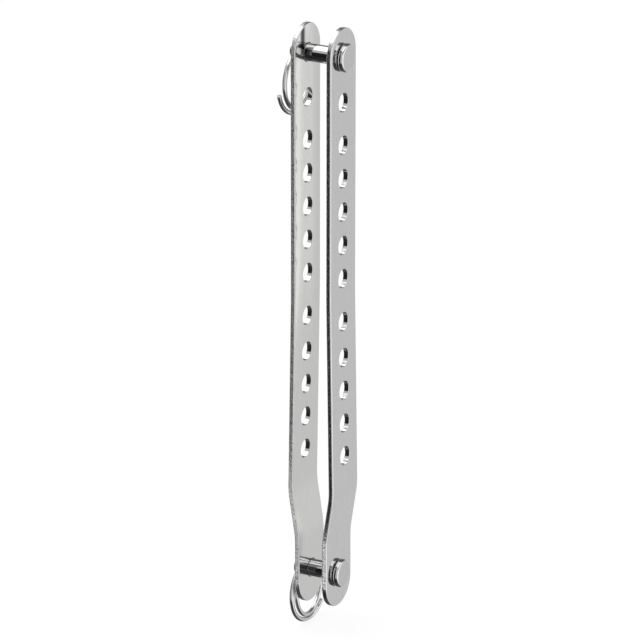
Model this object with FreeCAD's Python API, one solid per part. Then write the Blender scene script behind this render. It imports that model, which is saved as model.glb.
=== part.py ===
import FreeCAD, Part
import math
import os

# Shroud adjuster: two joggled plates with rows of holes, two clevis pins and their split rings.
# X runs along the pins towards their heads, Z runs up the plates, and Y is Z cross X.
# The origin is on the lower pin's axis, midway between the plates. Sizes are in millimetres.

# Plates
PLATE_WIDTH = 15.0
PLATE_THICKNESS = 1.5
EDGE_CHAMFER = 0.3
TOP_MARGIN = 8.4
BOTTOM_MARGIN = 9.95
UPPER_GAP = 9.7
WIDE_GAP = 11.5
LOWER_GAP = 7.2
SPLAY_START_Z = 84.0
JOGGLE_TOP_Z = 25.2
JOGGLE_BOTTOM_Z = 11.4
SPLAY_BEND_RADIUS = 60.0
JOGGLE_BEND_RADIUS = 25.0

# Rows of holes, counted up from the lower pin
FIRST_HOLE_RISE = 36.0
HOLE_PITCH = 9.8
STEP_ABOVE_LOWER_ROW = 10.7
STEP_BELOW_UPPER_ROW = 12.8
STEP_ABOVE_UPPER_ROW = 12.4
TOP_PIN_STEP = 13.1
LOWER_ROW_PITCHES = 3
UPPER_ROW_PITCHES = 4

# Clevis pins
PIN_DIAMETER = 5.1
PIN_RADIAL_CLEARANCE = 0.2
HEAD_DIAMETER = 8.2
HEAD_HEIGHT = 1.65
HEAD_FRONT_CHAMFER = 0.45
HEAD_BACK_CHAMFER = 0.15
HEAD_SEAT_GAP = 0.15
RING_HOLE_DIAMETER = 2.1
RING_HOLE_STANDOFF = 1.75
RING_HOLE_CHAMFER = 0.15
PIN_TIP_BEYOND_HOLE = 1.75
TIP_CHAMFER_LENGTH = 0.7
TIP_CHAMFER_DEPTH = 0.6

# Split rings
WIRE_DIAMETER = 1.4
WIRE_SIDES = 11
OUTER_COIL_RADIUS = 9.5
INNER_COIL_RADIUS = 8.0
OUTER_COIL_LEAN = 3.5
INNER_COIL_LEAN = 3.0
UPPER_RING_SWEEP = 173.0
UPPER_RING_TAIL = 0.0
LOWER_RING_SWEEP = 120.0
LOWER_RING_TAIL = 40.0
UPPER_PIN_TURN = 8.0
LOWER_PIN_TURN = 19.0

# Values that follow from the sizes above
HOLE_DIAMETER = PIN_DIAMETER + 2 * PIN_RADIAL_CLEARANCE
END_RADIUS = PLATE_WIDTH / 2
LOWER_PIN_Z = 0.0


def hole_heights():
    """Heights of the free holes, from the lowest up, and of the upper pin."""
    heights = [LOWER_PIN_Z + FIRST_HOLE_RISE]
    for _ in range(LOWER_ROW_PITCHES):
        heights.append(heights[-1] + HOLE_PITCH)
    heights.append(heights[-1] + STEP_ABOVE_LOWER_ROW)
    heights.append(heights[-1] + STEP_BELOW_UPPER_ROW)
    for _ in range(UPPER_ROW_PITCHES):
        heights.append(heights[-1] + HOLE_PITCH)
    heights.append(heights[-1] + STEP_ABOVE_UPPER_ROW)
    return heights, heights[-1] + TOP_PIN_STEP


FREE_HOLES, UPPER_PIN_Z = hole_heights()
PLATE_TOP_Z = UPPER_PIN_Z + TOP_MARGIN
PLATE_BOTTOM_Z = LOWER_PIN_Z - BOTTOM_MARGIN


def centre_line():
    """Corners of the plate's middle surface in the XZ plane, from the top down."""
    half = PLATE_THICKNESS / 2
    return [
        (UPPER_GAP / 2 + half, PLATE_TOP_Z),
        (UPPER_GAP / 2 + half, SPLAY_START_Z),
        (WIDE_GAP / 2 + half, JOGGLE_TOP_Z),
        (LOWER_GAP / 2 + half, JOGGLE_BOTTOM_Z),
        (LOWER_GAP / 2 + half, PLATE_BOTTOM_Z),
    ]


def gap_at(z):
    """Distance from the middle plane to the plate's inner face at a height."""
    line = centre_line()
    for (x0, z0), (x1, z1) in zip(line, line[1:]):
        if z1 <= z <= z0:
            return x0 + (x1 - x0) * (z0 - z) / (z0 - z1) - PLATE_THICKNESS / 2
    raise ValueError("height outside the plate")


def bent_side(points, radii, offset):
    """Edges of a bent line moved sideways by an offset, with an arc at each inner corner."""
    edges = []
    last = None
    count = len(points)
    for i in range(count):
        x, z = points[i]
        if i == 0 or i == count - 1:
            other = points[1] if i == 0 else points[-2]
            sign = 1.0 if i == 0 else -1.0
            dx, dz = sign * (other[0] - x), sign * (other[1] - z)
            length = math.hypot(dx, dz)
            here = FreeCAD.Vector(x - offset * dz / length, 0, z + offset * dx / length)
            if last is not None:
                edges.append(Part.LineSegment(last, here).toShape())
            last = here
            continue
        ax, az = x - points[i - 1][0], z - points[i - 1][1]
        bx, bz = points[i + 1][0] - x, points[i + 1][1] - z
        la, lb = math.hypot(ax, az), math.hypot(bx, bz)
        ax, az, bx, bz = ax / la, az / la, bx / lb, bz / lb
        turn = math.atan2(ax * bz - az * bx, ax * bx + az * bz)
        side = 1.0 if turn > 0 else -1.0
        radius = radii[i - 1]
        tangent = radius * math.tan(abs(turn) / 2)
        start = (x - ax * tangent, z - az * tangent)
        centre = (start[0] - az * side * radius, start[1] + ax * side * radius)
        swing = radius - side * offset
        arc = []
        for part in (0.0, 0.5, 1.0):
            angle = turn * part
            rx, rz = az * side, -ax * side
            vx = rx * math.cos(angle) - rz * math.sin(angle)
            vz = rx * math.sin(angle) + rz * math.cos(angle)
            arc.append(FreeCAD.Vector(centre[0] + swing * vx, 0, centre[1] + swing * vz))
        edges.append(Part.LineSegment(last, arc[0]).toShape())
        edges.append(Part.Arc(arc[0], arc[1], arc[2]).toShape())
        last = arc[2]
    return edges


def plate_blank():
    """Bent strip of the right-hand plate, before it is cut to its outline."""
    line = centre_line()
    line[0] = (line[0][0], line[0][1] + 1)
    line[-1] = (line[-1][0], line[-1][1] - 1)
    radii = [SPLAY_BEND_RADIUS, JOGGLE_BEND_RADIUS, JOGGLE_BEND_RADIUS]
    one = bent_side(line, radii, PLATE_THICKNESS / 2)
    two = bent_side(line, radii, -PLATE_THICKNESS / 2)
    top = Part.LineSegment(one[0].Vertexes[0].Point, two[0].Vertexes[0].Point).toShape()
    bottom = Part.LineSegment(one[-1].Vertexes[-1].Point, two[-1].Vertexes[-1].Point).toShape()
    wire = Part.Wire(Part.__sortEdges__(one + two + [top, bottom]))
    face = Part.Face(wire)
    face.translate(FreeCAD.Vector(0, -PLATE_WIDTH / 2 - 1, 0))
    return face.extrude(FreeCAD.Vector(0, PLATE_WIDTH + 2, 0))


def plate_outline():
    """Prism of the plate's outline seen along the pins: straight sides and round ends."""
    half = PLATE_WIDTH / 2
    top, bottom = PLATE_TOP_Z - END_RADIUS, PLATE_BOTTOM_Z + END_RADIUS
    corners = [
        FreeCAD.Vector(0, -half, bottom),
        FreeCAD.Vector(0, -half, top),
        FreeCAD.Vector(0, half, top),
        FreeCAD.Vector(0, half, bottom),
    ]
    crown = FreeCAD.Vector(0, 0, PLATE_TOP_Z)
    foot = FreeCAD.Vector(0, 0, PLATE_BOTTOM_Z)
    wire = Part.Wire([
        Part.LineSegment(corners[0], corners[1]).toShape(),
        Part.Arc(corners[1], crown, corners[2]).toShape(),
        Part.LineSegment(corners[2], corners[3]).toShape(),
        Part.Arc(corners[3], foot, corners[0]).toShape(),
    ])
    return Part.Face(wire).extrude(FreeCAD.Vector(20, 0, 0))


def on_outline(point):
    """Whether a point lies on the plate's cut outline."""
    y, z = point.y, point.z
    top, bottom = PLATE_TOP_Z - END_RADIUS, PLATE_BOTTOM_Z + END_RADIUS
    if z > top:
        return abs(math.hypot(y, z - top) - END_RADIUS) < 1e-3
    if z < bottom:
        return abs(math.hypot(y, z - bottom) - END_RADIUS) < 1e-3
    return abs(abs(y) - PLATE_WIDTH / 2) < 1e-3


def face_edges(solid):
    """Edges where the plate's two broad faces meet its cut outline."""
    found = []
    for edge in solid.Edges:
        first, last = edge.ParameterRange
        middle = edge.valueAt((first + last) / 2)
        ends = [v.Point for v in edge.Vertexes]
        if not all(on_outline(p) for p in ends + [middle]):
            continue
        across = abs(ends[0].x - ends[-1].x)
        through = abs(across - PLATE_THICKNESS) < 0.05 and edge.Length < 1.1 * PLATE_THICKNESS
        if not through:
            found.append(edge)
    return found


def pin_hole(z):
    """Cutter for one hole along X through the plate."""
    inner = gap_at(z) - 1
    start = FreeCAD.Vector(inner, 0, z)
    return Part.makeCylinder(HOLE_DIAMETER / 2, PLATE_THICKNESS + 2, start, FreeCAD.Vector(1, 0, 0))


def side_plate():
    """The right-hand plate: bent strip, eased edges and a row of holes."""
    plate = plate_blank().common(plate_outline())
    plate = plate.makeChamfer(EDGE_CHAMFER, face_edges(plate))
    for z in [LOWER_PIN_Z] + FREE_HOLES + [UPPER_PIN_Z]:
        plate = plate.cut(pin_hole(z))
    return plate


def clevis_pin(z, turn):
    """Pin along X with a flat head, a chamfered tip and a cross hole for its ring."""
    outer = gap_at(z) + PLATE_THICKNESS
    under_head = outer + HEAD_SEAT_GAP
    tip = -(outer + RING_HOLE_STANDOFF + PIN_TIP_BEYOND_HOLE)
    shank, head = PIN_DIAMETER / 2, HEAD_DIAMETER / 2
    front = under_head + HEAD_HEIGHT
    points = [
        FreeCAD.Vector(tip, 0, 0),
        FreeCAD.Vector(tip, 0, shank - TIP_CHAMFER_DEPTH),
        FreeCAD.Vector(tip + TIP_CHAMFER_LENGTH, 0, shank),
        FreeCAD.Vector(under_head, 0, shank),
        FreeCAD.Vector(under_head, 0, head - HEAD_BACK_CHAMFER),
        FreeCAD.Vector(under_head + HEAD_BACK_CHAMFER, 0, head),
        FreeCAD.Vector(front - HEAD_FRONT_CHAMFER, 0, head),
        FreeCAD.Vector(front, 0, head - HEAD_FRONT_CHAMFER),
        FreeCAD.Vector(front, 0, 0),
    ]
    profile = Part.Face(Part.makePolygon(points + points[:1]))
    pin = profile.revolve(FreeCAD.Vector(0, 0, 0), FreeCAD.Vector(1, 0, 0), 360)
    pin = pin.cut(ring_hole(-(outer + RING_HOLE_STANDOFF)))
    pin.rotate(FreeCAD.Vector(0, 0, 0), FreeCAD.Vector(1, 0, 0), turn)
    pin.translate(FreeCAD.Vector(0, 0, z))
    return pin


def ring_hole(x):
    """Cutter for the cross hole along Y, eased where it leaves the shank on each side."""
    radius = RING_HOLE_DIAMETER / 2
    reach = PIN_DIAMETER / 2
    along = FreeCAD.Vector(0, 1, 0)
    cutter = Part.makeCylinder(radius, 2 * reach + 2, FreeCAD.Vector(x, -reach - 1, 0), along)
    for side in (-1, 1):
        base = FreeCAD.Vector(x, side * (reach - 2 * RING_HOLE_CHAMFER), 0)
        out = FreeCAD.Vector(0, side, 0)
        cutter = cutter.fuse(Part.makeCone(radius, radius + 1, 1, base, out))
    return cutter


def wire_section(centre, tangent, towards):
    """Cross-section of the ring's wire: a many-sided face square to the wire's direction."""
    tangent.normalize()
    towards.normalize()
    beside = tangent.cross(towards)
    radius = WIRE_DIAMETER / 2
    points = []
    for i in range(WIRE_SIDES):
        angle = 2 * math.pi * (i + 0.5) / WIRE_SIDES
        arm = towards * math.cos(angle) + beside * math.sin(angle)
        points.append(centre + arm * radius)
    return Part.Face(Part.makePolygon(points + points[:1]))


def next_section(section, centre, normal, angle):
    """The wire's section after a run about a centre, where the next run starts."""
    moved = section.copy()
    moved.rotate(centre, normal, angle)
    return moved


def split_ring(sweep, tail):
    """Split ring about its place in the pin's cross hole, which is the origin.

    The wire runs from its outer end round the outer coil, over the top through the cross hole,
    and back round the inner coil. The sweep is the outer coil's angle, and the tail is how far
    the wire goes on up past its last half turn. The leans spread the two coils apart, so that
    their free ends stand clear of each other. Each run is one section revolved about a centre.
    """
    top_radius = (OUTER_COIL_RADIUS + INNER_COIL_RADIUS) / 2
    sag = top_radius - math.sqrt(top_radius ** 2 - (PIN_DIAMETER / 2) ** 2)
    drop = top_radius - sag / 2
    middle = (OUTER_COIL_RADIUS - INNER_COIL_RADIUS) / 2
    left_outer = FreeCAD.Vector(0, middle - OUTER_COIL_RADIUS, -drop)
    right_inner = FreeCAD.Vector(0, middle + INNER_COIL_RADIUS, -drop)
    top_centre = (left_outer + right_inner) * 0.5
    lean_out, lean_in = math.radians(OUTER_COIL_LEAN), math.radians(INNER_COIL_LEAN)
    outer_way = FreeCAD.Vector(math.sin(lean_out), math.cos(lean_out), 0)
    inner_way = FreeCAD.Vector(math.sin(lean_in), -math.cos(lean_in), 0)
    outer_axis = FreeCAD.Vector(math.cos(lean_out), -math.sin(lean_out), 0)
    inner_axis = FreeCAD.Vector(math.cos(lean_in), math.sin(lean_in), 0)
    outer_centre = left_outer + outer_way * OUTER_COIL_RADIUS
    inner_centre = right_inner + inner_way * INNER_COIL_RADIUS
    back = FreeCAD.Vector(-1, 0, 0)

    start = wire_section(left_outer, FreeCAD.Vector(0, 0, 1), FreeCAD.Vector(1, 0, 0))
    right = next_section(start, top_centre, back, 180.0)
    left = next_section(right, inner_centre, inner_axis, -180.0)
    runs = [
        start.revolve(outer_centre, outer_axis, sweep),
        start.revolve(top_centre, back, 180.0),
        right.revolve(inner_centre, inner_axis, -180.0),
    ]
    if tail > 0:
        runs.append(left.revolve(inner_centre, inner_axis, -tail))
    return runs


def placed_ring(z, turn, sweep, tail, flipped):
    """Split ring hung in the cross hole of the pin at a height."""
    runs = split_ring(sweep, tail)
    ring = runs[0].multiFuse(runs[1:])
    origin = FreeCAD.Vector(0, 0, 0)
    if flipped:
        ring.rotate(origin, FreeCAD.Vector(0, 0, 1), 180)
    ring.rotate(origin, FreeCAD.Vector(1, 0, 0), turn)
    ring.translate(FreeCAD.Vector(-(gap_at(z) + PLATE_THICKNESS + RING_HOLE_STANDOFF), 0, z))
    return ring


def build():
    """Make every piece and write each one to its own STEP file."""
    right_plate = side_plate()
    left_plate = right_plate.mirror(FreeCAD.Vector(0, 0, 0), FreeCAD.Vector(1, 0, 0))
    pieces = {
        "right_plate": right_plate,
        "left_plate": left_plate,
        "upper_clevis_pin": clevis_pin(UPPER_PIN_Z, UPPER_PIN_TURN),
        "lower_clevis_pin": clevis_pin(LOWER_PIN_Z, LOWER_PIN_TURN),
        "upper_split_ring": placed_ring(
            UPPER_PIN_Z, UPPER_PIN_TURN, UPPER_RING_SWEEP, UPPER_RING_TAIL, True
        ),
        "lower_split_ring": placed_ring(
            LOWER_PIN_Z, LOWER_PIN_TURN, LOWER_RING_SWEEP, LOWER_RING_TAIL, False
        ),
    }
    os.makedirs("parts", exist_ok=True)
    for name, shape in pieces.items():
        if len(shape.Solids) != 1:
            raise ValueError(name + " is not one solid")
        solid = shape.Solids[0]
        if not solid.isValid():
            raise ValueError(name + " is not a valid solid")
        solid.exportStep("parts/" + name + ".step")
        box = solid.BoundBox
        sizes = [round(v, 2) for v in (box.XLength, box.YLength, box.ZLength)]
        print(name, round(solid.Volume, 1), sizes)


build()
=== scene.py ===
"""Shroud adjuster: two polished joggled plates, two clevis pins and their split rings.

Lengths inside the classes are millimetres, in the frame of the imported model: X runs along the
pins towards their heads, Z runs up the plates, and the origin is on the lower pin's axis, midway
between the plates. Blender gets metres.
"""

import logging
import math
from dataclasses import dataclass, field
from enum import Enum

import bpy
import numpy as np
from mathutils import Matrix, Vector


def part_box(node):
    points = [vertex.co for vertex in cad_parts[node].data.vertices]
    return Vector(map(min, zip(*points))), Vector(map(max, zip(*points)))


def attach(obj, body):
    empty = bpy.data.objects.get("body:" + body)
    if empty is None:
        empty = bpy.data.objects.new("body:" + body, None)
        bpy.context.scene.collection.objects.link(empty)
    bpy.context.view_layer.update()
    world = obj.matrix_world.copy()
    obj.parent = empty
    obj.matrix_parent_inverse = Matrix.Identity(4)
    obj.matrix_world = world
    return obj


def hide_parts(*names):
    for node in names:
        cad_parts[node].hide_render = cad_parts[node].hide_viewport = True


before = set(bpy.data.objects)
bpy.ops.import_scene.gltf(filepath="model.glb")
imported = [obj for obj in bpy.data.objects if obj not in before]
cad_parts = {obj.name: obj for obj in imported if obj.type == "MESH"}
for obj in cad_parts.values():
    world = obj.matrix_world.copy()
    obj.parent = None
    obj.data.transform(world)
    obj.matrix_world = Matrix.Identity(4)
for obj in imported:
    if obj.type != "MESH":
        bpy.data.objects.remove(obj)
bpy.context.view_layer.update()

logging.basicConfig(level=logging.INFO, format="%(message)s")
log = logging.getLogger("shroud_adjuster")

Socket = bpy.types.NodeSocket
Pair = tuple[np.ndarray, np.ndarray]

MM = 0.001
IMAGE_SIZE = 640
WELDS_PER_MM = 1e4


class Side(Enum):
    """Which of the two mirrored plates."""

    RIGHT = 1.0
    LEFT = -1.0


class Layer(Enum):
    """Material slot of a surface: on a plate, outer face, cut edge or inner face."""

    SKIN = 0
    CUT = 1
    PUNCHED = 2


# Surfaces


@dataclass
class Patch:
    """A grid of points with the surface's own normals.

    Attributes:
        points: rows x columns x 3, in millimetres.
        normals: the same shape, unit vectors that point out of the metal.
        layer: the finish that the patch takes.
        wraps: whether the last row joins the first.
    """

    points: np.ndarray
    normals: np.ndarray
    layer: Layer = Layer.SKIN
    wraps: bool = False


def join_patches(name: str, patches: list[Patch]) -> bpy.types.Object:
    """Weld patches into one closed mesh that keeps their exact normals.

    Every grid cell becomes a quad, or a triangle where two of its corners meet, and it is turned
    so that its winding agrees with the mean of its corner normals.

    Args:
        name: name of the new object.
        patches: the surfaces to join.

    Returns:
        The new object, at the origin, in the scene's collection.
    """
    points, normals, cells, layers = [], [], [], []
    base = 0
    for patch in patches:
        rows, columns = patch.points.shape[:2]
        index = np.arange(rows * columns).reshape(rows, columns) + base
        if patch.wraps:
            index = np.vstack([index, index[:1]])
        corners = [index[:-1, :-1], index[1:, :-1], index[1:, 1:], index[:-1, 1:]]
        quads = np.stack(corners, axis=-1).reshape(-1, 4)
        points.append(patch.points.reshape(-1, 3))
        normals.append(patch.normals.reshape(-1, 3))
        cells.append(quads)
        layers.append(np.full(len(quads), patch.layer.value))
        base += rows * columns
    place, lean = np.vstack(points), np.vstack(normals)
    cell, layer = np.vstack(cells), np.concatenate(layers)

    across = np.cross(place[cell[:, 2]] - place[cell[:, 0]], place[cell[:, 3]] - place[cell[:, 1]])
    inward = np.einsum("ij,ij->i", across, lean[cell].sum(axis=1)) < 0
    cell[inward] = cell[inward][:, ::-1]

    keys = np.round(place * WELDS_PER_MM).astype(np.int64)
    _, first, weld = np.unique(keys, axis=0, return_index=True, return_inverse=True)
    weld = weld.reshape(-1)
    welded = weld[cell]
    keep = welded != np.roll(welded, 1, axis=1)
    sides = keep.sum(axis=1)
    four, three = sides == 4, sides == 3
    quads = welded[four]
    triangles = welded[three][keep[three]].reshape(-1, 3)
    corner_normals = np.vstack([lean[cell[four]].reshape(-1, 3), lean[cell[three]][keep[three]]])

    mesh = bpy.data.meshes.new(name)
    mesh.from_pydata((place[first] * MM).tolist(), [], quads.tolist() + triangles.tolist())
    slots = np.concatenate([layer[four], layer[three]]).astype(np.int32)
    mesh.polygons.foreach_set("material_index", slots)
    mesh.shade_smooth()
    mesh.normals_split_custom_set(corner_normals.tolist())
    mesh.update()
    piece = bpy.data.objects.new(name, mesh)
    bpy.context.scene.collection.objects.link(piece)
    return piece


def rounded_profile(corners: list[tuple[float, float, float]], steps: int) -> Pair:
    """Turned profile through corners, each eased by a circular arc.

    An arc of radius f at a corner whose two sides turn by an angle w touches both sides
    f * tan(w / 2) away from the corner. Normals are to the left of the way along the profile.

    Args:
        corners: (x, radius, arc radius) for each corner, in order.
        steps: points on each arc.

    Returns:
        Points (x, radius) and their normals, as two arrays of rows.
    """
    xy = np.array([c[:2] for c in corners])
    ways = np.diff(xy, axis=0)
    ways /= np.linalg.norm(ways, axis=1)[:, None]
    lefts = np.stack([-ways[:, 1], ways[:, 0]], axis=1)
    spots, leans = [xy[:1]], [lefts[:1]]
    for i in range(1, len(corners) - 1):
        ease = corners[i][2]
        before, after = ways[i - 1], ways[i]
        turn = math.atan2(before[0] * after[1] - before[1] * after[0], float(before @ after))
        back = ease * math.tan(abs(turn) / 2)
        start = xy[i] - before * back
        side = 1.0 if turn > 0 else -1.0
        centre = start + lefts[i - 1] * ease * side
        angle = np.linspace(0.0, turn, steps)[:, None]
        lean = lefts[i - 1] * np.cos(angle) - before * np.sin(angle)
        spots.append(centre - lean * ease * side)
        leans.append(lean)
    return np.vstack(spots + [xy[-1:]]), np.vstack(leans + [lefts[-1:]])


def turned(points: np.ndarray, normals: np.ndarray, spokes: int) -> Patch:
    """Surface of revolution about the X axis: (x, r cos t, r sin t) over the full turn t.

    Args:
        points: profile rows (x, r).
        normals: profile normals (along x, along r), pointing out of the metal.
        spokes: steps in the turn.
    """
    turn = np.arange(spokes) * 2 * math.pi / spokes
    y, z = np.cos(turn)[:, None], np.sin(turn)[:, None]
    wide = np.ones_like(y)
    place, lean = (np.stack([wide * rows[:, 0], y * rows[:, 1], z * rows[:, 1]], axis=-1)
                   for rows in (points, normals))
    return Patch(place, lean, wraps=True)


def holed_cell(hole: np.ndarray, border: np.ndarray, steps: int) -> np.ndarray:
    """Flat grid between a hole's rim and a closed border: rim + (border - rim) * s.

    Args:
        hole: points of the rim, one for each point of the border.
        border: points of the border, in order round it.
        steps: rings of points from the rim to the border.

    Returns:
        Border points x rings x 2.
    """
    share = np.linspace(0.0, 1.0, steps)[None, :, None]
    return hole[:, None, :] * (1 - share) + border[:, None, :] * share


# Plates


@dataclass
class PlateLine:
    """The plate's bent middle line in the XZ plane: straight runs joined by arcs."""

    top: float = 162.0
    bottom: float = -9.95
    thickness: float = 1.5
    upper_gap: float = 9.7
    wide_gap: float = 11.5
    lower_gap: float = 7.2
    splay_start: float = 84.0
    joggle_top: float = 25.2
    joggle_bottom: float = 11.4
    splay_bend: float = 60.0
    joggle_bend: float = 25.0
    bend_steps: int = 25
    _z: np.ndarray = field(init=False)
    _x: np.ndarray = field(init=False)
    _slope: np.ndarray = field(init=False)

    def __post_init__(self) -> None:
        """Sample the line densely from the bottom up, arcs included."""
        half = self.thickness / 2
        corners = [
            (self.bottom, self.lower_gap / 2 + half, 0.0),
            (self.joggle_bottom, self.lower_gap / 2 + half, self.joggle_bend),
            (self.joggle_top, self.wide_gap / 2 + half, self.joggle_bend),
            (self.splay_start, self.upper_gap / 2 + half, self.splay_bend),
            (self.top, self.upper_gap / 2 + half, 0.0),
        ]
        spots, leans = rounded_profile(corners, self.bend_steps)
        self._z, self._x = spots[:, 0], spots[:, 1]
        self._slope = -leans[:, 0] / leans[:, 1]

    def at(self, z: np.ndarray) -> Pair:
        """Middle line's distance from the middle plane and its slope dx/dz at heights z."""
        return np.interp(z, self._z, self._x), np.interp(z, self._z, self._slope)

    def outer_face(self, z: float) -> float:
        """Distance from the middle plane to the plate's outer face at a height."""
        return float(self.at(np.array(z))[0]) + self.thickness / 2


@dataclass
class SidePlate:
    """One plate: two broad faces round thirteen holes, a cut outline and eased edges."""

    side: Side
    line: PlateLine
    width: float = 15.0
    edge_ease: float = 0.3
    rim_ease: float = 0.12
    hole_radius: float = 2.75
    holes: tuple[float, ...] = (
        0.0, 36.0, 45.8, 55.6, 65.4, 76.1, 88.9, 98.7, 108.5, 118.3, 128.1, 140.5, 153.6,
    )
    foot_cell: float = 7.5
    first_cell: float = 31.0
    strip_steps: int = 96
    cross_steps: int = 18
    arc_steps: int = 48
    cell_rings: int = 8
    ease_steps: int = 7
    wall_steps: int = 6

    @property
    def reach(self) -> float:
        """Half the width of the flat part of a broad face."""
        return self.width / 2 - self.edge_ease

    @property
    def arc_low(self) -> float:
        """Height of the centre of the lower end's arc."""
        return self.line.bottom + self.width / 2

    @property
    def arc_high(self) -> float:
        """Height of the centre of the upper end's arc."""
        return self.line.top - self.width / 2

    def borders(self) -> list[tuple[float, float]]:
        """Lowest and highest straight height of each hole's cell, from the lowest hole up."""
        middles = [(a + b) / 2 for a, b in zip(self.holes[1:], self.holes[2:])]
        lows = [self.arc_low, self.first_cell] + middles
        highs = [self.foot_cell] + middles + [self.arc_high]
        return list(zip(lows, highs))

    def arc(self, low: bool) -> np.ndarray:
        """Points (y, z) on the arc that ends the flat part of a broad face."""
        start = math.pi if low else 0.0
        angle = np.linspace(start, start + math.pi, self.arc_steps + 1)
        centre = self.arc_low if low else self.arc_high
        return np.stack([self.reach * np.cos(angle), centre + self.reach * np.sin(angle)], axis=1)

    def level(self, z: float) -> np.ndarray:
        """Points (y, z) straight across a broad face, from +Y to -Y."""
        y = np.linspace(self.reach, -self.reach, self.cross_steps + 1)
        return np.stack([y, np.full_like(y, z)], axis=1)

    def rise(self, low: float, high: float, y: float, steps: int = 18) -> np.ndarray:
        """Points (y, z) up one straight side of a broad face."""
        z = np.linspace(low, high, steps + 1)
        return np.stack([np.full_like(z, y), z], axis=1)

    def cell_border(self, number: int) -> np.ndarray:
        """Closed border of one hole's cell, counterclockwise from its lower +Y corner."""
        low, high = self.borders()[number]
        top = self.arc(False) if number == len(self.holes) - 1 else self.level(high)
        bottom = self.arc(True) if number == 0 else self.level(low)[::-1]
        up = self.rise(low, high, self.reach)
        down = self.rise(low, high, -self.reach)[::-1]
        return np.vstack([up[:-1], top[:-1], down[:-1], bottom[:-1]])

    def outline(self) -> Pair:
        """Closed outline of the broad face's flat part and its outward directions.

        The heights up each straight side are those of the cells, so that the edge and the broad
        faces share their points.
        """
        spans = self.borders()
        sides = [self.rise(*spans[0], self.reach), self.strip_side()]
        sides += [self.rise(*span, self.reach) for span in spans[1:]]
        right = np.vstack([run[:-1] for run in sides] + [sides[-1][-1:]])
        left = right[::-1] * np.array([-1.0, 1.0])
        top, bottom = self.arc(False), self.arc(True)
        path = np.vstack([right[:-1], top[:-1], left[:-1], bottom[:-1]])
        centre = np.clip(path[:, 1], self.arc_low, self.arc_high)
        out = np.stack([path[:, 0], path[:, 1] - centre], axis=1)
        return path, out / np.linalg.norm(out, axis=1)[:, None]

    def strip_side(self) -> np.ndarray:
        """Points up the +Y side of the bent stretch that has no hole."""
        return self.rise(self.foot_cell, self.first_cell, self.reach, self.strip_steps)

    def raise_from_sheet(self, flat: np.ndarray, lift: np.ndarray, lean: np.ndarray) -> Pair:
        """Carry points of the flat sheet onto the bent plate.

        A point (y, z) lifted n off the sheet's middle lies at the line's x plus n along the line's
        normal (1, -s) / sqrt(1 + s * s), where s is the slope dx/dz there.

        Args:
            flat: points (y, z).
            lift: height n of each point above the middle, outwards.
            lean: normals (along y, along z, along n).

        Returns:
            Points and normals in space, mirrored for the left plate.
        """
        y, z = flat[..., 0], flat[..., 1]
        x, slope = self.line.at(z)
        long = np.sqrt(1 + slope ** 2)
        place = np.stack([x + lift / long, y, z - lift * slope / long], axis=-1)
        along, off = lean[..., 1], lean[..., 2]
        normal = np.stack([(along * slope + off) / long, lean[..., 0],
                           (along - off * slope) / long], axis=-1)
        mirror = np.array([self.side.value, 1.0, 1.0])
        return place * mirror, normal * mirror

    def face(self, flat: np.ndarray, outer: bool, wraps: bool) -> Patch:
        """A stretch of one broad face from its flat grid."""
        sign = 1.0 if outer else -1.0
        lean = np.zeros(flat.shape[:-1] + (3,))
        lean[..., 2] = sign
        lift = np.full(flat.shape[:-1], sign * self.line.thickness / 2)
        place, normal = self.raise_from_sheet(flat, lift, lean)
        return Patch(place, normal, Layer.SKIN if outer else Layer.PUNCHED, wraps)

    def edge(self, path: np.ndarray, out: np.ndarray, ease: float, wall: Layer) -> list[Patch]:
        """Surface through the sheet's thickness along a closed path: arc, wall, arc.

        With the arc's angle p from the face to the wall, a point stands ease * cos(p) out from the
        path and ease * sin(p) above the wall's end.

        Args:
            path: closed path on the broad face, where the arc starts.
            out: direction from the metal at each point.
            ease: radius of the arcs.
            wall: finish of the flat wall between the arcs.
        """
        half, steps = self.line.thickness / 2 - ease, self.wall_steps
        bend = np.linspace(math.pi / 2, 0.0, self.ease_steps)
        back = bend[::-1]
        runs = [
            (np.cos(bend), half + ease * np.sin(bend), np.sin(bend), Layer.SKIN),
            (np.ones(steps), np.linspace(half, -half, steps), np.zeros(steps), wall),
            (np.cos(back), -half - ease * np.sin(back), -np.sin(back), Layer.SKIN),
        ]
        patches = []
        for push, lift, off, layer in runs:
            flat = path[:, None, :] + out[:, None, :] * (ease * push)[None, :, None]
            up = np.broadcast_to(off[None, :, None], (len(path), len(off), 1))
            lean = np.concatenate([out[:, None, :] * push[None, :, None], up], axis=-1)
            lifts = np.broadcast_to(lift[None, :], (len(path), len(lift)))
            place, normal = self.raise_from_sheet(flat, lifts, lean)
            patches.append(Patch(place, normal, layer, wraps=True))
        return patches

    def build(self, name: str) -> bpy.types.Object:
        """Make the plate from its cells, its bent strip, its rims and its outline."""
        patches: list[Patch] = []
        for number, height in enumerate(self.holes):
            border = self.cell_border(number)
            centre = np.array([0.0, height])
            angle = np.arctan2(border[:, 1] - height, border[:, 0])
            spoke = np.stack([np.cos(angle), np.sin(angle)], axis=1)
            rim = centre + spoke * (self.hole_radius + self.rim_ease)
            flat = holed_cell(rim, border, self.cell_rings)
            patches += [self.face(flat, True, True), self.face(flat, False, True)]
            patches += self.edge(rim, -spoke, self.rim_ease, Layer.SKIN)
        strip = np.stack([self.level(z) for z in self.strip_side()[:, 1]])
        patches += [self.face(strip, True, False), self.face(strip, False, False)]
        path, out = self.outline()
        patches += self.edge(path, out, self.edge_ease, Layer.CUT)
        return join_patches(name, patches)


# Clevis pins


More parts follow.
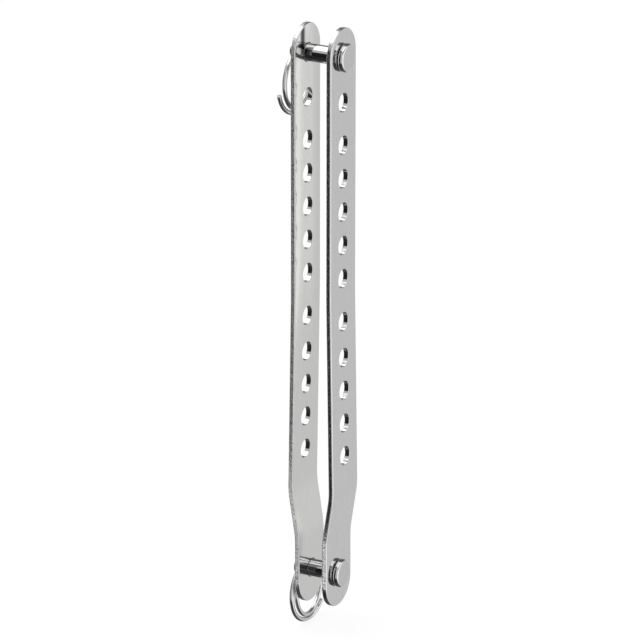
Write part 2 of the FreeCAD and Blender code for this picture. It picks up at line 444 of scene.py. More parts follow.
@dataclass
class ClevisPin:
    """Turned pin with a flat head, a conical tip and a cross hole for its split ring."""

    height: float
    outer_face: float
    turn: float
    diameter: float = 5.1
    head_diameter: float = 8.2
    head_height: float = 1.65
    head_ease: float = 0.65
    back_ease: float = 0.5
    seat_gap: float = 0.15
    hole_diameter: float = 2.1
    hole_standoff: float = 1.75
    tip_beyond: float = 1.6
    tip_length: float = 0.5
    tip_depth: float = 1.15
    tip_ease: float = 0.12
    band_margin: float = 0.4
    spokes: int = 128
    tip_steps: int = 7
    head_steps: int = 9
    band_steps: int = 13
    cell_rings: int = 10
    wall_steps: int = 9

    @property
    def hole_x(self) -> float:
        """Where the cross hole lies along the pin."""
        return -(self.outer_face + self.hole_standoff)

    def cross_hole_band(self, low: float, high: float) -> list[Patch]:
        """Band of the shank round the cross hole, and the wall of the hole.

        Each half of the band is a holed cell on the unrolled shank, with x along it and arc length
        radius * p round it. A hole of radius a meets the shank where p = asin(a sin(q) / radius).

        Args:
            low: x where the band starts.
            high: x where the band ends.
        """
        radius, bore = self.diameter / 2, self.hole_diameter / 2
        half = self.spokes // 2
        arc = np.linspace(-math.pi / 2, math.pi / 2, half + 1) * radius
        run = np.linspace(low, high, self.band_steps) - self.hole_x
        border = np.vstack([
            np.stack([np.full_like(arc, run[-1]), arc], axis=1)[:-1],
            np.stack([run[::-1], np.full_like(run, arc[-1])], axis=1)[:-1],
            np.stack([np.full_like(arc, run[0]), arc[::-1]], axis=1)[:-1],
            np.stack([run, np.full_like(run, arc[0])], axis=1)[:-1],
        ])
        q = np.arctan2(border[:, 1], border[:, 0])
        rim = np.stack([bore * np.cos(q), radius * np.arcsin(bore * np.sin(q) / radius)], axis=1)
        grid = holed_cell(rim, border, self.cell_rings)
        round_it = grid[..., 1] / radius
        patches = []
        for way in (-1.0, 1.0):
            normal = np.stack([np.zeros_like(round_it), way * np.cos(round_it),
                               np.sin(round_it)], axis=-1)
            place = normal * radius
            place[..., 0] = grid[..., 0] + self.hole_x
            patches.append(Patch(place, normal, wraps=True))
        across, up = (np.repeat(way(q)[:, None], self.wall_steps, axis=1)
                      for way in (np.cos, np.sin))
        depth = np.sqrt(radius ** 2 - (bore * up) ** 2) * np.linspace(-1.0, 1.0, self.wall_steps)
        wall = np.stack([self.hole_x + bore * across, depth, bore * up], axis=-1)
        lean = np.stack([-across, np.zeros_like(depth), -up], axis=-1)
        patches.append(Patch(wall, lean, wraps=True))
        return patches

    def build(self, name: str) -> bpy.types.Object:
        """Make the pin along X, then turn it, with its normals, and lift it to its height."""
        shank, head = self.diameter / 2, self.head_diameter / 2
        under = self.outer_face + self.seat_gap
        front = under + self.head_height
        tip = self.hole_x - self.tip_beyond
        shoulder = tip + self.tip_length
        band_end = self.hole_x + (self.hole_diameter / 2 + self.band_margin)
        point = rounded_profile([
            (tip, 0.0, 0.0), (tip, shank - self.tip_depth, self.tip_ease),
            (shoulder, shank, 0.0)], self.tip_steps)
        knob = rounded_profile([
            (band_end, shank, 0.0), (under, shank, 0.0), (under, head, self.back_ease),
            (front, head, self.head_ease), (front, 0.0, 0.0)], self.head_steps)
        patches = [turned(*point, self.spokes), turned(*knob, self.spokes)]
        patches += self.cross_hole_band(shoulder, band_end)
        place = (Matrix.Translation((0, 0, self.height * MM))
                 @ Matrix.Rotation(math.radians(self.turn), 4, "X"))
        piece = join_patches(name, patches)
        normals = np.empty(len(piece.data.loops) * 3, dtype=np.float32)
        piece.data.corner_normals.foreach_get("vector", normals)
        normals = normals.reshape(-1, 3) @ np.array(place.to_3x3()).T
        piece.data.transform(place)
        piece.data.normals_split_custom_set(normals.tolist())
        return piece


# Split rings


@dataclass
class SplitRing:
    """Round wire wound one and a half times: outer coil, half turn through the pin, inner coil.

    The coils start from the two ends of the half turn and lean apart, so that their free ends
    stand off on opposite sides. Turns and leans are in degrees.
    """

    height: float
    hole_x: float
    turn: float
    sweep: float
    tail: float
    flipped: bool
    wire_diameter: float = 1.38
    outer_radius: float = 9.5
    inner_radius: float = 8.0
    outer_lean: float = 3.5
    inner_lean: float = 3.0
    pin_diameter: float = 5.1
    end_ease: float = 0.14
    spokes: int = 40
    ease_steps: int = 6
    arc_step: float = 2.0

    def arc(self, centre: np.ndarray, start: np.ndarray, axis: np.ndarray, angle: float) -> Pair:
        """Points and ways along an arc: centre + arm * cos(t) + (axis x arm) * sin(t).

        Args:
            centre: centre of the arc.
            start: its first point.
            axis: unit axis that it turns about.
            angle: turn in degrees, with its sign.
        """
        arm = start - centre
        side = np.cross(axis, arm)
        count = int(abs(angle) / self.arc_step) + 1
        t = np.radians(np.linspace(0.0, angle, count))[:, None]
        place = centre + arm * np.cos(t) + side * np.sin(t)
        way = (side * np.cos(t) - arm * np.sin(t)) * math.copysign(1.0, angle)
        return place, way / np.linalg.norm(way, axis=1)[:, None]

    def path(self) -> Pair:
        """Middle line of the wire and its ways, from the outer coil's free end to the inner's."""
        top_radius = (self.outer_radius + self.inner_radius) / 2
        sag = top_radius - math.sqrt(top_radius ** 2 - (self.pin_diameter / 2) ** 2)
        drop = top_radius - sag / 2
        middle = (self.outer_radius - self.inner_radius) / 2
        left = np.array([0.0, middle - self.outer_radius, -drop])
        right = np.array([0.0, middle + self.inner_radius, -drop])
        out, back = math.radians(self.outer_lean), math.radians(self.inner_lean)
        outer_centre = left + np.array([math.sin(out), math.cos(out), 0.0]) * self.outer_radius
        inner_centre = right + np.array([math.sin(back), -math.cos(back), 0.0]) * self.inner_radius
        outer_axis = np.array([math.cos(out), -math.sin(out), 0.0])
        inner_axis = np.array([math.cos(back), math.sin(back), 0.0])
        outer, outer_way = self.arc(outer_centre, left, outer_axis, self.sweep)
        top, top_way = self.arc((left + right) / 2, left, np.array([-1.0, 0.0, 0.0]), 180.0)
        inner, inner_way = self.arc(inner_centre, right, inner_axis, -180.0 - self.tail)
        return (np.vstack([outer[::-1], top[1:], inner[1:]]),
                np.vstack([-outer_way[::-1], top_way[1:], inner_way[1:]]))

    def build(self, name: str) -> bpy.types.Object:
        """Sweep the wire's circle along the path and close its blunt ends.

        A point of the surface is the path plus r * (side * cos(q) + up * sin(q)), where side is X
        made square to the way. Near an end, r falls from the wire's radius by the ease, as a
        quarter circle, and then to nothing on the flat end.
        """
        place, way = self.path()
        step = np.concatenate([[0.0], np.cumsum(np.linalg.norm(np.diff(place, axis=0), axis=1))])
        radius, ease = self.wire_diameter / 2, self.end_ease
        bend = np.linspace(0.0, math.pi / 2, self.ease_steps)
        cut = ease * (1 - np.cos(bend))
        clear = 1.5 * ease
        inside = (step > clear) & (step < step[-1] - clear)
        near_end = ease * (1 - np.sin(bend))
        along = np.concatenate(
            [[0.0], near_end[::-1], step[inside], step[-1] - near_end, [step[-1]]])
        wide = np.concatenate(
            [[0.0], (radius - cut)[::-1], np.full(inside.sum(), radius), radius - cut, [0.0]])
        lean_way = np.concatenate(
            [[-1.0], -np.sin(bend)[::-1], np.zeros(inside.sum()), np.sin(bend), [1.0]])
        lean_out = np.sqrt(np.clip(1 - lean_way ** 2, 0, 1))
        spot = np.stack([np.interp(along, step, place[:, k]) for k in range(3)], axis=1)
        ahead = np.stack([np.interp(along, step, way[:, k]) for k in range(3)], axis=1)
        ahead /= np.linalg.norm(ahead, axis=1)[:, None]
        side = np.array([1.0, 0.0, 0.0]) - ahead * ahead[:, :1]
        side /= np.linalg.norm(side, axis=1)[:, None]
        up = np.cross(ahead, side)
        q = np.arange(self.spokes) * 2 * math.pi / self.spokes
        ring = side[None] * np.cos(q)[:, None, None] + up[None] * np.sin(q)[:, None, None]
        surface = spot[None] + ring * wide[None, :, None]
        lean = ring * lean_out[None, :, None] + (ahead * lean_way[:, None])[None]
        flip = np.array([-1.0, -1.0, 1.0]) if self.flipped else np.ones(3)
        tilt = np.array(Matrix.Rotation(math.radians(self.turn), 3, "X"))
        surface = (surface * flip) @ tilt.T + np.array([self.hole_x, 0.0, self.height])
        return join_patches(name, [Patch(surface, (lean * flip) @ tilt.T, wraps=True)])


# Finishes

WEAR_GAIN = 4.0
# Base colour of the painted dark reflection on the far plate's inner face above its upper pin.
PAINTED_REFLECTION_COLOUR = (0.07, 0.07, 0.07, 1.0)


class NodeKit:
    """Short calls for building a node tree, whose values are sockets or plain."""

    def __init__(self, tree: bpy.types.NodeTree) -> None:
        """Start on a tree."""
        self.tree = tree

    def add(self, kind: str, **settings: object) -> bpy.types.Node:
        """Add a node and set its properties."""
        node = self.tree.nodes.new(kind)
        for key, value in settings.items():
            setattr(node, key, value)
        return node

    def feed(self, node: bpy.types.Node, values: dict[str | int, object]) -> None:
        """Link a node's inputs, named or numbered, to sockets, or set them."""
        for key, value in values.items():
            if isinstance(value, Socket):
                self.tree.links.new(value, node.inputs[key])
            else:
                node.inputs[key].default_value = value

    def math(self, operation: str, first: object, second: object = 0.0) -> Socket:
        """Result of a Math node."""
        node = self.add("ShaderNodeMath", operation=operation)
        self.feed(node, {0: first, 1: second})
        return node.outputs[0]

    def smooth_step(self, value: object, start: object, end: object) -> Socket:
        """Smooth rise from 0 where a value is at the start to 1 where it is at the end."""
        node = self.add("ShaderNodeMapRange", interpolation_type="SMOOTHSTEP")
        self.feed(node, {"Value": value, "From Min": start, "From Max": end})
        return node.outputs[0]

    def mix(self, share: object, first: object, second: object) -> Socket:
        """Colour between two colours."""
        node = self.add("ShaderNodeMix", data_type="RGBA")
        self.feed(node, {0: share, 6: first, 7: second})
        return node.outputs[2]

    def split(self, vector: Socket) -> tuple[Socket, Socket, Socket]:
        """X, Y and Z of a vector."""
        node = self.add("ShaderNodeSeparateXYZ")
        self.feed(node, {0: vector})
        return tuple(node.outputs)


def new_group(name: str, vectors: tuple[str, ...], values: tuple[str, ...],
              results: tuple[str, ...]) -> tuple[NodeKit, object, bpy.types.Node]:
    """Start a node group.

    Args:
        name: name of the group.
        vectors: names of its vector inputs.
        values: names of its float inputs.
        results: names of its float outputs.

    Returns:
        The group's kit, the sockets of its inputs by name, and its output node.
    """
    tree = bpy.data.node_groups.new(name, "ShaderNodeTree")
    for titles, way, kind in ((vectors, "INPUT", "NodeSocketVector"),
                              (values, "INPUT", "NodeSocketFloat"),
                              (results, "OUTPUT", "NodeSocketFloat")):
        for title in titles:
            tree.interface.new_socket(title, in_out=way, socket_type=kind)
    kit = NodeKit(tree)
    return kit, kit.add("NodeGroupInput").outputs, kit.add("NodeGroupOutput")


def metal_grain_group() -> bpy.types.NodeTree:
    """Group for worked metal: fine lines along one axis, pits, and slow waves.

    Inputs are the object's coordinates, the number of each per metre, and the height of each.
    Outputs are the height in metres and a mask of wear, the product of the lines and the pits.
    """
    kit, given, end = new_group("Metal grain", ("Coordinates", "Line density"),
                                ("Pit density", "Wave density", "Lines", "Pits", "Waves"),
                                ("Height", "Wear"))
    stretched = kit.add("ShaderNodeVectorMath", operation="MULTIPLY")
    kit.feed(stretched, {0: given["Coordinates"], 1: given["Line density"]})
    noises = (
        ("Lines", stretched.outputs[0], 1.0, 4.0),
        ("Pits", given["Coordinates"], given["Pit density"], 2.0),
        ("Waves", given["Coordinates"], given["Wave density"], 0.0),
    )
    height: object = 0.0
    found = []
    for share, place, scale, detail in noises:
        noise = kit.add("ShaderNodeTexNoise")
        kit.feed(noise, {"Vector": place, "Scale": scale, "Detail": detail})
        found.append(noise.outputs["Fac"])
        height = kit.math("ADD", height, kit.math("MULTIPLY", found[-1], given[share]))
    wear = kit.math("MULTIPLY", kit.math("MULTIPLY", found[0], found[1]), WEAR_GAIN)
    kit.feed(end, {"Height": height, "Wear": wear})
    return kit.tree


def sheet_margin_and_painted_reflection_group() -> bpy.types.NodeTree:
    """Group for what the inner faces of the plates show beside their grain, and a painted dark
    reflection.

    The distance from the plate's middle line is sqrt(y * y + e * e), where e is how far z lies past
    the centre of an end's arc. Across the margin's width, where s grows from 0 to 1, the surface
    falls by slope * width * s * s / 2, the soft roll that a punch leaves. The whole face is turned
    by a slope, as on a loose pin. Both fade out below the plate's middle. Outputs are that height
    in metres, and the mask of a painted dark reflection: a thin band on the far plate's inner face
    above its upper pin, where the base colour is made near black.
    """
    kit, given, end = new_group(
        "Sheet margin and painted reflection", ("Coordinates",),
        ("Upper centre", "Lower centre", "Fade from", "Fade to", "Reach", "Width", "Slope", "Turn",
         "Painted reflection middle", "Painted reflection inner", "Painted reflection outer", "Painted reflection foot"), ("Height", "Painted reflection"))
    x, y, z = kit.split(given["Coordinates"])
    above = kit.math("SUBTRACT", z, given["Upper centre"])
    below = kit.math("SUBTRACT", given["Lower centre"], z)
    past = kit.math("MAXIMUM", kit.math("MAXIMUM", above, below), 0.0)
    square = kit.math("ADD", kit.math("MULTIPLY", y, y), kit.math("MULTIPLY", past, past))
    start = kit.math("SUBTRACT", given["Reach"], given["Width"])
    inside = kit.math("SUBTRACT", kit.math("SQRT", square), start)
    share = kit.math("MAXIMUM", kit.math("DIVIDE", inside, given["Width"]), 0.0)
    steepness = kit.math("MULTIPLY", given["Width"], given["Slope"])
    fall = kit.math("MULTIPLY", kit.math("MULTIPLY", share, share), steepness)
    lean = kit.math("MULTIPLY", y, given["Turn"])
    shape = kit.math("SUBTRACT", lean, kit.math("MULTIPLY", fall, 0.5))
    fade = kit.smooth_step(z, given["Fade from"], given["Fade to"])
    # Painted dark reflection mask: full near a given y, only above the top hole and only on the far
    # plate (x below 0).
    aside = kit.math("ABSOLUTE", kit.math("SUBTRACT", y, given["Painted reflection middle"]))
    painted_reflection = kit.smooth_step(aside, given["Painted reflection outer"], given["Painted reflection inner"])
    over_pin = kit.math("GREATER_THAN", z, given["Painted reflection foot"])
    far_plate = kit.math("LESS_THAN", x, 0.0)
    there = kit.math("MULTIPLY", over_pin, far_plate)
    kit.feed(end, {"Height": kit.math("MULTIPLY", shape, fade),
                   "Painted reflection": kit.math("MULTIPLY", painted_reflection, there)})
    return kit.tree


@dataclass(frozen=True)
class MarginAndPaintedReflection:
    """Values of the group for the sheet margin and the painted dark reflection, with lengths in
    millimetres.

    Attributes:
        slope: steepest slope of the punch's roll along the outline.
        width: width of that roll.
        turn: slope of the whole face towards -Y, at the plate's head.
        fade_from: height below which both are gone.
        fade_to: height above which both are full.
        painted_reflection_middle: y of the middle of the painted dark reflection.
        painted_reflection_inner: half width where it is full.
        painted_reflection_outer: half width where it is gone.
    """

    slope: float = 0.10
    width: float = 5.0
    turn: float = 0.07
    fade_from: float = 45.0
    fade_to: float = 105.0
    painted_reflection_middle: float = -3.0
    painted_reflection_inner: float = 0.4
    painted_reflection_outer: float = 2.0

    def node(self, kit: NodeKit, place: Socket, group: bpy.types.NodeTree) -> bpy.types.Node:
        """Add the group to a material, fitted to the plates' outline."""
        half = SidePlate.width / 2
        node = kit.add("ShaderNodeGroup", node_tree=group)
        kit.feed(node, {"Coordinates": place, "Slope": self.slope, "Turn": self.turn})
        lengths = {
            "Upper centre": PlateLine.top - half, "Lower centre": PlateLine.bottom + half,
            "Fade from": self.fade_from, "Fade to": self.fade_to,
            "Reach": half - SidePlate.edge_ease, "Width": self.width,
            "Painted reflection middle": self.painted_reflection_middle, "Painted reflection inner": self.painted_reflection_inner,
            "Painted reflection outer": self.painted_reflection_outer, "Painted reflection foot": SidePlate.holes[-1],
        }
        kit.feed(node, {name: length * MM for name, length in lengths.items()})
        return node


@dataclass(frozen=True)
class Steel:
    """A steel finish: its reflectance, its gloss, the marks that its making left and, through its
    margin, a painted dark reflection.

    Attributes:
        name: name of the material.
        tint: reflectance where the metal is cleanest.
        worn_tint: reflectance where the wear mask is full.
        roughness: lowest and highest roughness across the wear mask.
        line_density: lines per metre along X, Y and Z.
        pit_density: pits per metre.
        wave_density: slow waves per metre.
        lines: height of the lines in metres.
        pits: that of the pits.
        waves: that of the waves.
        margin: what an inner face of the plates shows beside that.
        slant: slope of the broken punched edge towards +X, at the plate's foot.
        foot: heights in millimetres between which that slope comes in.
    """

    name: str
    tint: tuple[float, float, float]
    worn_tint: tuple[float, float, float]
    roughness: tuple[float, float]
    line_density: tuple[float, float, float]
    pit_density: float
    wave_density: float
    lines: float
    pits: float
    # margin: what an inner face of the plates shows beside that, a painted dark reflection
    # included.
    waves: float
    margin: MarginAndPaintedReflection | None = None
    slant: float = 0.0
    foot: tuple[float, float] = (26.0, 10.0)

    def material(self, groups: dict[str, bpy.types.NodeTree]) -> bpy.types.Material:
        """Build the material round the shared groups.

        Args:
            groups: the shared groups by name.

        Returns:
            The new material.
        """
        material = bpy.data.materials.new(self.name)
        material.use_nodes = True
        kit = NodeKit(material.node_tree)
        place = kit.add("ShaderNodeTexCoord").outputs["Object"]
        grain = kit.add("ShaderNodeGroup", node_tree=groups["grain"])
        kit.feed(grain, {"Coordinates": place, "Line density": self.line_density,
                         "Pit density": self.pit_density, "Wave density": self.wave_density,
                         "Lines": self.lines, "Pits": self.pits, "Waves": self.waves})
        height, wear = grain.outputs["Height"], grain.outputs["Wear"]
        colour = kit.mix(wear, (*self.tint, 1.0), (*self.worn_tint, 1.0))
        if self.margin:
            sheet = self.margin.node(kit, place, groups["margin"])
            height = kit.math("ADD", height, sheet.outputs["Height"])
            # Painted dark reflection: the base colour goes to near black where its mask is full.
            colour = kit.mix(sheet.outputs["Painted reflection"], colour, PAINTED_REFLECTION_COLOUR)
        if self.slant:
            x, _, z = kit.split(place)
            share = kit.smooth_step(z, self.foot[0] * MM, self.foot[1] * MM)
            ramp = kit.math("MULTIPLY", kit.math("MULTIPLY", x, -self.slant), share)
            height = kit.math("ADD", height, ramp)
        gloss = kit.add("ShaderNodeMapRange")
        kit.feed(gloss, {"Value": wear, "To Min": self.roughness[0], "To Max": self.roughness[1]})
        bump = kit.add("ShaderNodeBump")
        kit.feed(bump, {"Strength": 1.0, "Distance": 1.0, "Height": height})
        kit.feed(material.node_tree.nodes["Principled BSDF"], {
            "Metallic": 1.0, "Base Color": colour, "Roughness": gloss.outputs[0],
            "Normal": bump.outputs[0]})
        return material


POLISHED_SHEET = Steel(
    "polished sheet steel", (0.715, 0.717, 0.70), (0.66, 0.66, 0.66), (0.05, 0.12),
    (900.0, 900.0, 60.0), 700.0, 60.0, 1.0e-6, 0.6e-6, 0.4e-6)
# The punched side takes the sheet margin group, which also paints a dark reflection into the far
# plate's base colour.
PUNCHED_SHEET = Steel(
    "polished sheet steel, punched side", (0.75, 0.752, 0.735), (0.70, 0.70, 0.69), (0.05, 0.12),
    (900.0, 900.0, 60.0), 700.0, 60.0, 1.0e-6, 0.6e-6, 0.4e-6, MarginAndPaintedReflection())
NEAR_EDGE = Steel(
    "punched edge steel", (0.70, 0.70, 0.70), (0.5, 0.5, 0.5), (0.08, 0.2),
    (300.0, 900.0, 900.0), 1500.0, 300.0, 2.0e-6, 7.0e-5, 0.0, slant=0.18)
FAR_EDGE = Steel(
    "punched edge steel, coarse", (0.70, 0.70, 0.70), (0.6, 0.6, 0.6), (0.12, 0.36),
    (300.0, 900.0, 900.0), 1500.0, 300.0, 3.0e-6, 1.4e-4, 0.0, slant=0.225, foot=(48.0, 8.0))
TURNED_STEEL = Steel(
    "turned pin steel", (0.70, 0.70, 0.70), (0.62, 0.62, 0.62), (0.02, 0.06),
    (2500.0, 60.0, 60.0), 900.0, 350.0, 0.15e-6, 0.6e-6, 8.0e-6)
RING_WIRE = Steel(
    "drawn wire steel", (0.70, 0.70, 0.69), (0.6, 0.6, 0.6), (0.03, 0.09),
    (700.0, 700.0, 700.0), 1500.0, 500.0, 0.8e-6, 1.2e-6, 8.0e-6)


# Studio


@dataclass
class Camera:
    """The photograph's camera, fitted to the places of the holes and pins."""

    azimuth: float = 28.0
    elevation: float = 19.53
    roll: float = 0.05
    distance: float = 1670.0
    focal_px: float = 5847.0
    shift_right: float = -0.79
    shift_up: float = 71.2
    sensor: float = 36.0
    clip: tuple[float, float] = (50.0, 60000.0)

    def build(self) -> None:
        """Put the camera in place and make it the scene's camera."""
        a, e, roll = (math.radians(v) for v in (self.azimuth, self.elevation, self.roll))
        back = Vector((math.sin(a) * math.cos(e), -math.cos(a) * math.cos(e), math.sin(e)))
        right = Vector((math.cos(a), math.sin(a), 0.0))
        up = back.cross(right)
        c, s = math.cos(roll), math.sin(roll)
        right, up = right * c + up * s, up * c - right * s
        spot = back * self.distance + right * self.shift_right + up * self.shift_up
        data = bpy.data.cameras.new("camera")
        data.sensor_width = self.sensor
        data.sensor_fit = "HORIZONTAL"
        data.lens = self.focal_px * self.sensor / IMAGE_SIZE
        data.clip_start, data.clip_end = (length * MM for length in self.clip)
        camera = bpy.data.objects.new("camera", data)
        turn = Matrix((right, up, back)).transposed().to_4x4()
        camera.matrix_world = Matrix.Translation(spot * MM) @ turn
        bpy.context.scene.collection.objects.link(camera)
        bpy.context.scene.camera = camera


@dataclass(frozen=True)
class Pane:
    """A soft-edged oblong of the studio's tent, in directions seen from the part, in degrees.

    Azimuth is 0 towards -Y and 90 towards +X, and elevation is 90 straight up. A later pane lies
    over an earlier one, and level 1 is plain white.
    """

    name: str
    azimuth: float
    elevation: float
    half_width: float
    half_height: float
    soft: float
    level: float


PANES = (
    Pane("dark above and behind", 175.0, 36.0, 40.0, 24.0, 14.0, 0.14),
    Pane("dim under", 0.0, -80.0, 180.0, 32.0, 14.0, 0.10),
    Pane("dark below the front", 15.0, -45.0, 60.0, 14.0, 10.0, 0.05),
    Pane("rear sheet", 165.0, -19.5, 50.0, 26.0, 14.0, 0.72),
    Pane("rear right sheet", 94.0, 0.0, 40.0, 34.0, 40.0, 1.55),
    Pane("right lamp", 76.0, 1.0, 40.0, 25.0, 18.0, 1.25),
    Pane("dark over the right lamp", 76.0, 44.0, 38.0, 12.0, 6.0, 0.05),
    Pane("top lamp", -10.0, 74.0, 148.0, 19.5, 3.0, 1.7),
    Pane("left lamp", -108.0, 30.0, 22.0, 22.0, 14.0, 1.1),
    Pane("top left lamp", -95.0, 60.0, 52.0, 14.0, 10.0, 2.4),
    Pane("left rear lamp", -130.0, -14.0, 17.0, 26.0, 12.0, 1.5),
    Pane("front lamp", 0.0, 12.0, 11.0, 38.0, 8.0, 1.6),
    Pane("left shade", -74.0, -6.0, 38.0, 27.0, 10.0, 0.36),
    Pane("left flag", -30.0, -6.0, 11.0, 29.0, 5.0, 0.015),
    Pane("low left flag", -30.0, -45.0, 25.0, 22.0, 10.0, 0.03),
    Pane("gap for the camera", 19.0, -5.0, 12.5, 50.0, 6.0, 0.03),
)


def pane_group() -> bpy.types.NodeTree:
    """Group that lays one pane over a level.

    The mask is the product of two smooth steps, one of the azimuth's distance from the pane's
    middle, taken the short way round, and one of the elevation's. The level then goes from the
    given one to the pane's as the mask goes from 0 to 1.
    """
    kit, given, end = new_group(
        "Tent pane", (),
        ("Azimuth", "Elevation", "Under", "Middle azimuth", "Middle elevation", "Inner width",
         "Outer width", "Inner height", "Outer height", "Level"), ("Level",))
    around = kit.add("ShaderNodeMath", operation="WRAP")
    turn = kit.math("SUBTRACT", given["Azimuth"], given["Middle azimuth"])
    kit.feed(around, {0: turn, 1: 180.0, 2: -180.0})
    aside = kit.math("ABSOLUTE", around.outputs[0])
    over = kit.math("ABSOLUTE", kit.math("SUBTRACT", given["Elevation"], given["Middle elevation"]))
    wide = kit.smooth_step(aside, given["Outer width"], given["Inner width"])
    high = kit.smooth_step(over, given["Outer height"], given["Inner height"])
    change = kit.math("SUBTRACT", given["Level"], given["Under"])
    laid = kit.math("MULTIPLY", change, kit.math("MULTIPLY", wide, high))
    kit.feed(end, {"Level": kit.math("ADD", given["Under"], laid)})
    return kit.tree


@dataclass
class Studio:
    """Pale floor, one soft lamp, and a light tent that the metal reflects, in metres."""

    floor_z: float = -0.0182
    floor_size: float = 24.0
    floor_colour: tuple[float, float, float, float] = (0.9, 0.9, 0.9, 1.0)
    floor_glow: float = 0.9
    tent_level: float = 0.66
    lamp_spot: tuple[float, float, float] = (-0.2, -0.5, 1.4)
    lamp_aim: tuple[float, float, float] = (0.0, 0.0, 0.08)
    lamp_size: float = 1.0
    lamp_power: float = 9.0

    def floor(self) -> None:
        """White floor, mostly glow to the camera so that a soft shadow stays; never mirrored."""
        far, z = self.floor_size / 2, self.floor_z
        corners = [(-far, -far, z), (far, -far, z), (far, far, z), (-far, far, z)]
        mesh = bpy.data.meshes.new("floor")
        mesh.from_pydata(corners, [], [(0, 1, 2, 3)])
        floor = bpy.data.objects.new("floor", mesh)
        bpy.context.scene.collection.objects.link(floor)
        floor.visible_glossy = False
        material = bpy.data.materials.new("pale floor")
        material.use_nodes = True
        material.node_tree.nodes.clear()
        kit = NodeKit(material.node_tree)
        ray = kit.add("ShaderNodeLightPath").outputs
        seen = kit.math("MAXIMUM", ray["Is Camera Ray"], ray["Is Glossy Ray"])
        seen = kit.math("MAXIMUM", seen, ray["Is Transmission Ray"])
        cloth = kit.add("ShaderNodeBsdfDiffuse")
        kit.feed(cloth, {"Color": self.floor_colour})
        glow = kit.add("ShaderNodeEmission")
        kit.feed(glow, {"Strength": 1.0})
        mix = kit.add("ShaderNodeMixShader")
        kit.feed(mix, {0: kit.math("MULTIPLY", seen, self.floor_glow), 1: cloth.outputs[0],
                       2: glow.outputs[0]})
        kit.feed(kit.add("ShaderNodeOutputMaterial"), {"Surface": mix.outputs[0]})
        floor.data.materials.append(material)

    def lamp(self) -> None:
        """Square soft lamp that faces the middle of the part and lights the floor."""
        data = bpy.data.lights.new("top lamp", "AREA")
        data.shape = "SQUARE"
        data.size, data.energy = self.lamp_size, self.lamp_power
        lamp = bpy.data.objects.new("top lamp", data)
        aim = Vector(self.lamp_aim) - Vector(self.lamp_spot)
        lamp.location = self.lamp_spot
        lamp.rotation_euler = aim.to_track_quat("-Z", "Y").to_euler()
        lamp.visible_glossy = False
        bpy.context.scene.collection.objects.link(lamp)

    def tent(self) -> None:
        """World of even light with the panes laid over it, plain white to the camera."""
        world = bpy.data.worlds.new("studio")
        bpy.context.scene.world = world
        world.use_nodes = True
        kit = NodeKit(world.node_tree)
        x, y, z = kit.split(kit.add("ShaderNodeTexCoord").outputs["Generated"])
        front = kit.math("MULTIPLY", y, -1.0)
        azimuth = kit.math("DEGREES", kit.math("ARCTAN2", x, front))
        elevation = kit.math("DEGREES", kit.math("ARCSINE", z))
        group = pane_group()
        level: object = self.tent_level
        for pane in PANES:
            half = pane.soft / 2
            node = kit.add("ShaderNodeGroup", node_tree=group, label=pane.name)
            kit.feed(node, {
                "Azimuth": azimuth, "Elevation": elevation, "Under": level,
                "Middle azimuth": pane.azimuth, "Middle elevation": pane.elevation,
                "Inner width": pane.half_width - half, "Outer width": pane.half_width + half,
                "Inner height": pane.half_height - half, "Outer height": pane.half_height + half,
                "Level": pane.level})
            level = node.outputs["Level"]
        ray = kit.add("ShaderNodeLightPath").outputs
        shown = kit.add("ShaderNodeMix", data_type="FLOAT")
        kit.feed(shown, {0: ray["Is Camera Ray"], 2: level, 3: 1.0})
        kit.feed(world.node_tree.nodes["Background"],
                 {"Color": (1.0, 1.0, 1.0, 1.0), "Strength": shown.outputs[0]})

    def build(self) -> None:
        """Set the tent, the floor and the lamp."""
        self.tent()
        self.floor()
        self.lamp()
        bpy.context.scene.view_settings.view_transform = "Standard"


# Assembly


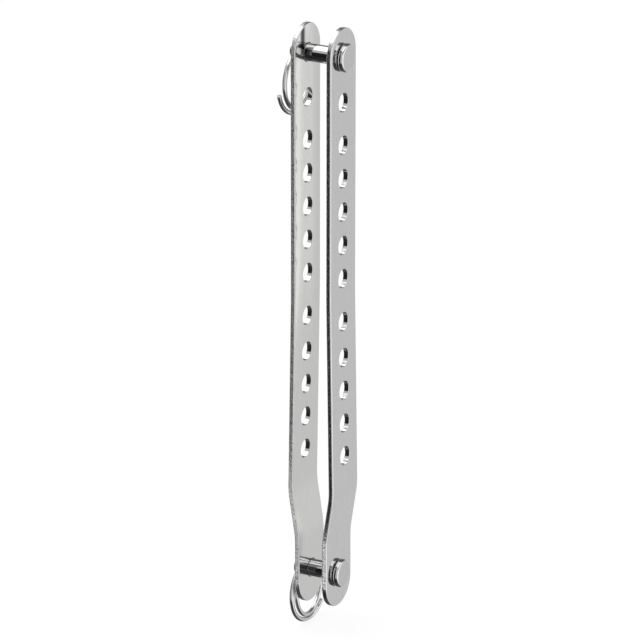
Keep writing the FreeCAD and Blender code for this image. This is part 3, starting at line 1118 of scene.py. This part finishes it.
@dataclass
class ShroudAdjuster:
    """The whole part: it makes each piece, dresses it and hands it to the frame.

    A turn is that of a pin and its ring about X, and coils are the sweep of a ring's outer coil and
    of its inner coil past a half turn, all in degrees.
    """

    line: PlateLine = field(default_factory=PlateLine)
    upper_turn: float = 8.0
    lower_turn: float = 19.0
    upper_coils: tuple[float, float] = (173.0, 0.0)
    lower_coils: tuple[float, float] = (120.0, 40.0)

    def hand_over(self, maker: SidePlate | ClevisPin | SplitRing, node: str, body: str,
                  finishes: list[bpy.types.Material]) -> None:
        """Make and dress a piece, let it replace its node and ride on its body.

        Args:
            maker: the piece's values.
            node: the node that it stands for.
            body: the body that it moves with.
            finishes: materials in the order of the Layer numbers.
        """
        piece = maker.build(node.replace("_", "-"))
        for finish in finishes:
            piece.data.materials.append(finish)
        low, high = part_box(node)
        spots = np.array([v.co for v in piece.data.vertices])
        slack = np.abs([spots.min(axis=0) - low, spots.max(axis=0) - high]).max()
        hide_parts(node)
        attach(piece, body)
        log.info("%s: %d faces, box within %.3f mm of its solid",
                 piece.name, len(piece.data.polygons), slack / MM)

    def build(self) -> None:
        """Make all six pieces."""
        groups = {"grain": metal_grain_group(), "margin": sheet_margin_and_painted_reflection_group()}
        sheet, punched, near, far, pin, wire = (finish.material(groups) for finish in (
            POLISHED_SHEET, PUNCHED_SHEET, NEAR_EDGE, FAR_EDGE, TURNED_STEEL, RING_WIRE))
        for side, node, cut in ((Side.RIGHT, "right_plate", near), (Side.LEFT, "left_plate", far)):
            plate = SidePlate(side, self.line)
            self.hand_over(plate, node, "plates", [sheet, cut, punched])
        ends = (
            ("upper", SidePlate.holes[-1], self.upper_turn, self.upper_coils, True),
            ("lower", SidePlate.holes[0], self.lower_turn, self.lower_coils, False),
        )
        for end, height, turn, coils, flipped in ends:
            clevis = ClevisPin(height, self.line.outer_face(height), turn)
            self.hand_over(clevis, end + "_clevis_pin", end + "_pin", [pin])
            ring = SplitRing(height, clevis.hole_x, turn, *coils, flipped)
            self.hand_over(ring, end + "_split_ring", end + "_ring", [wire])


def main() -> None:
    """Build the camera, the studio and the part, and note both boxes."""
    Camera().build()
    Studio().build()
    ShroudAdjuster().build()


if __name__ == "__main__":
    main()
